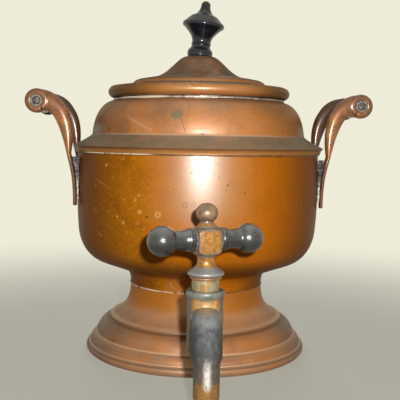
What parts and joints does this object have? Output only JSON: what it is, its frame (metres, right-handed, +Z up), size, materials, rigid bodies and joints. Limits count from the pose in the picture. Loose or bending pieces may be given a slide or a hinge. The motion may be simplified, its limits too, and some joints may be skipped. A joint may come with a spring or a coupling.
{
  "type": "hot-drinks urn",
  "caption": "Round copper hot-drinks urn on a bell foot, with a lift-off domed lid, turned black finial, scroll side handles with black grips, and a plug tap in front.",
  "frame": {"origin": "middle of the ring that the foot stands on, on the table", "axes": "+Z up along the urn's axis; -Y towards the tap; +X towards the right-hand handle as seen from the tap side"},
  "size_m": [0.316, 0.3234, 0.3297],
  "materials": {
    "copper": "old copper, dull, with brown patina",
    "amber_copper": "lacquered copper gone amber, satin",
    "tin": "tinned or soldered, dull silver",
    "ebonised_wood": "turned hardwood, blackened and polished",
    "tap_brass": "brass under grey-brown patina",
    "iron": "oxidised iron screw",
    "pale_brass": "brass, worn",
    "gasket": "pressed fibre"
  },
  "bodies": {
    "urn": {"foot": "copper", "neck_seam": "tin", "bowl": "amber_copper", "bowl_floor": "tin", "shoulder": "copper", "shoulder_seam": "tin", "mouth_collar": "tin", "arm_left_front": "copper", "arm_left_rear": "copper", "arm_right_front": "copper", "arm_right_rear": "copper", "arm_solder_left": "tin", "arm_solder_right": "tin", "grip_left": "ebonised_wood", "grip_right": "ebonised_wood", "grip_washers_left": "pale_brass", "grip_washers_right": "pale_brass", "grip_screws_left": "iron", "grip_screws_right": "iron", "tap_socket": "pale_brass", "tap_gasket": "gasket", "tap_body": "tap_brass"},
    "lid": {"lid": "copper", "lid_flange": "tin", "finial": "ebonised_wood", "finial_stud": "iron", "finial_washer": "tin", "finial_nut": "tap_brass"},
    "key": {"tap_key": "tap_brass", "handle_rod": "iron", "handle_ferrules": "pale_brass", "handle_arm_left": "ebonised_wood", "handle_arm_right": "ebonised_wood", "key_washer": "tap_brass", "key_nut": "tap_brass"}
  },
  "joints": [
    {"name": "lid_lift", "type": "slide", "parent": "urn", "child": "lid", "axis": [0, 0, 1], "range_m": [0, 0.12]},
    {"name": "key_turn", "type": "hinge", "parent": "urn", "child": "key", "pos_m": [0, -0.163, 0], "axis": [0, 0, 1], "continuous": true}
  ]
}
